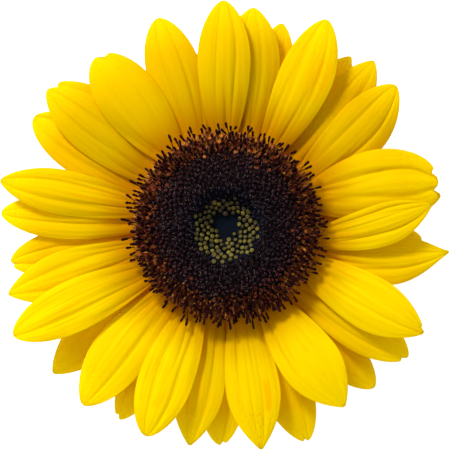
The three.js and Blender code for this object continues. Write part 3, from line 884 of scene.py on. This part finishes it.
# %% Dark buds
def chaff(count, lengths, radius, draw):
    """Points, faces, height share and tint of bristles that stand at random between the dark buds, most of
    them leaning outwards, with their tips about level with the disc's surface."""
    at = draw.choice(np.flatnonzero(~is_open & ~is_green), count)
    away = floret_radius[at] + draw.uniform(-0.8, 0.8, count)
    angle = floret_angle[at] + draw.uniform(-0.8, 0.8, count) / away
    outward = np.stack([np.cos(angle), np.sin(angle)], -1)
    length = draw.uniform(*lengths, count)
    roots = np.column_stack([AXIS + away[:, None] * outward, disc_top(away) - 0.7 * length])
    directions = np.column_stack([outward * draw.uniform(0, 1.4, (count, 1)), np.ones(count)])
    directions += draw.normal(0, 0.45, directions.shape)
    points, faces = hairs(roots, directions, length, radius)
    return points, [faces], np.tile([0, 0, 0, 1.0], count), np.repeat(draw.uniform(0, 1, count), 4)


closed_wave = np.zeros((6, LOBES))
closed_wave[3:5] = [np.tile([0.04, -0.05], 5), np.tile([0.12, -0.1], 5)]
dark_profile = [[0.3, 0], [0.44, 1.6], [0.53, 2.6], [0.45, 3.3], [0.3, 3.9], [0.07, 4.3]]
dark_bud = tube(dark_profile, LOBES, closed_wave)
middle_ring = np.flatnonzero(~is_open & ~is_green)
reddish = 0.75 * ripeness[middle_ring] ** 2 + RNG.uniform(0, 0.25, len(middle_ring))
bristles = (*chaff(1800, (1.2, 2.2), 0.2, RNG), 0)
pale_hairs = (*chaff(900, (0.6, 1.4), 0.07, RNG), 2)
joined = join([(*plant(dark_bud, middle_ring, 4.0, RNG, jitter=12, uneven=0.1, tint=reddish), 0),
               bed(CENTRE_REACH, DARK_REACH, 1.7, 1), bristles, pale_hairs])
add_piece("disc_dark_buds", replaced=["dark_buds"], slot="dark_bud",
          materials=[dark_skin, bed_skin, chaff_skin], **joined)
print(len(middle_ring), "dark buds,", sum(len(block) for block in joined["faces"]), "faces")

# %% Green buds round the hollow
HOLE_RADIUS = 3.9  # of the three-lobed hollow that no bud stands in
bead_wave = np.zeros((7, LOBES))
bead_wave[4:6] = np.tile([0.05, -0.05], 5)
bead_profile = [[0.3, 0], [0.5, 0.5], [0.72, 1.1], [0.8, 1.6], [0.62, 2.0], [0.32, 2.05], [0.1, 1.8]]
bead = tube(bead_profile, LOBES, bead_wave)
hole = HOLE_RADIUS + 0.7 * np.cos(3 * (floret_angle + math.pi / 2))
inside = np.flatnonzero((floret_radius > hole) & is_green)
# Painted shade: on top of a random share, buds towards +Y get more of the darker second tip colour, and buds
# towards -Y the brighter green.
shaded = 0.4 + 0.35 * np.sin(floret_angle[inside]) + RNG.uniform(-0.25, 0.35, len(inside))
joined = join([(*plant(bead, inside, 1.95, RNG, jitter=8, uneven=0.1, tint=shaded.clip(0, 1)), 0),
               bed(0, CENTRE_REACH, 1.5, 1, HOLE_RADIUS)])
add_piece("disc_green_buds", replaced=["centre_buds"], slot="green_bud",
          materials=[green_skin, hollow_shade_skin], **joined)
print(len(inside), "green buds,", sum(len(block) for block in joined["faces"]), "faces")

# %% [markdown]
# ## Floor, light and camera
#
# The head lies on a plain pale floor and is seen straight from above, from far enough away that it hardly
# narrows with depth. One soft lamp stands to the upper left at about 45 degrees, so that the disc
# throws a shadow on the petals below it, and a pale sky fills the rest.

# %% Floor
floor_skin, tree, skin = new_material("pale_floor")
mottle = add_node(tree, "ShaderNodeGroup", {"Scale": 40.0}, node_tree=grain)
tree.links.new(blend_colours(tree, mottle.outputs["Blotches"], (0.9, 0.9, 0.9, 1), (0.93, 0.93, 0.93, 1)),
               skin.inputs["Base Color"])
skin.inputs["Roughness"].default_value = 0.8
skin.inputs["Emission Color"].default_value = (1, 1, 1, 1)
skin.inputs["Emission Strength"].default_value = 0.6
FLOOR_HALF = 1.5
floor_mesh = bpy.data.meshes.new("floor")
corners = [(FLOOR_HALF * x, FLOOR_HALF * y, 0) for x, y in ((-1, -1), (1, -1), (1, 1), (-1, 1))]
floor_mesh.from_pydata(corners, [], [(0, 1, 2, 3)])
floor_mesh.materials.append(floor_skin)
floor = bpy.data.objects.new("floor", floor_mesh)
bpy.context.scene.collection.objects.link(floor)

# %% Light
KEY_BEARING = math.radians(-32)  # clockwise from +Y
KEY_ELEVATION = math.radians(42)
KEY_DISTANCE = 1.3
KEY_SIZE = 0.3
KEY_POWER = 19.5
SKY_STRENGTH = 0.72
lamp = bpy.data.lights.new("key", "AREA")
lamp.shape = "DISK"
lamp.size = KEY_SIZE
lamp.energy = KEY_POWER
key = bpy.data.objects.new("key", lamp)
aside = KEY_DISTANCE * math.cos(KEY_ELEVATION)
above = KEY_DISTANCE * math.sin(KEY_ELEVATION)
key.location = (aside * math.sin(KEY_BEARING), aside * math.cos(KEY_BEARING), above)
key.rotation_euler = key.location.to_track_quat("Z", "Y").to_euler()
bpy.context.scene.collection.objects.link(key)
world = bpy.data.worlds.new("pale_sky")
world.use_nodes = True
world.node_tree.nodes["Background"].inputs["Color"].default_value = (0.95, 0.97, 1.0, 1)
world.node_tree.nodes["Background"].inputs["Strength"].default_value = SKY_STRENGTH
bpy.context.scene.world = world
bpy.context.scene.view_settings.view_transform = "Standard"

# %% Camera
CAMERA_HEIGHT = 1.2  # above the petals, in metres
SENSOR = 36.0
PETAL_LEVEL = 0.03
VIEW_WIDTH = 0.15  # spanned at the petals' level
camera_data = bpy.data.cameras.new("camera")
camera_data.sensor_width = SENSOR
camera_data.lens = SENSOR * CAMERA_HEIGHT / VIEW_WIDTH
camera_data.clip_end = 20
camera = bpy.data.objects.new("camera", camera_data)
camera.location = (0, 0, PETAL_LEVEL + CAMERA_HEIGHT)
bpy.context.scene.collection.objects.link(camera)
bpy.context.scene.camera = camera
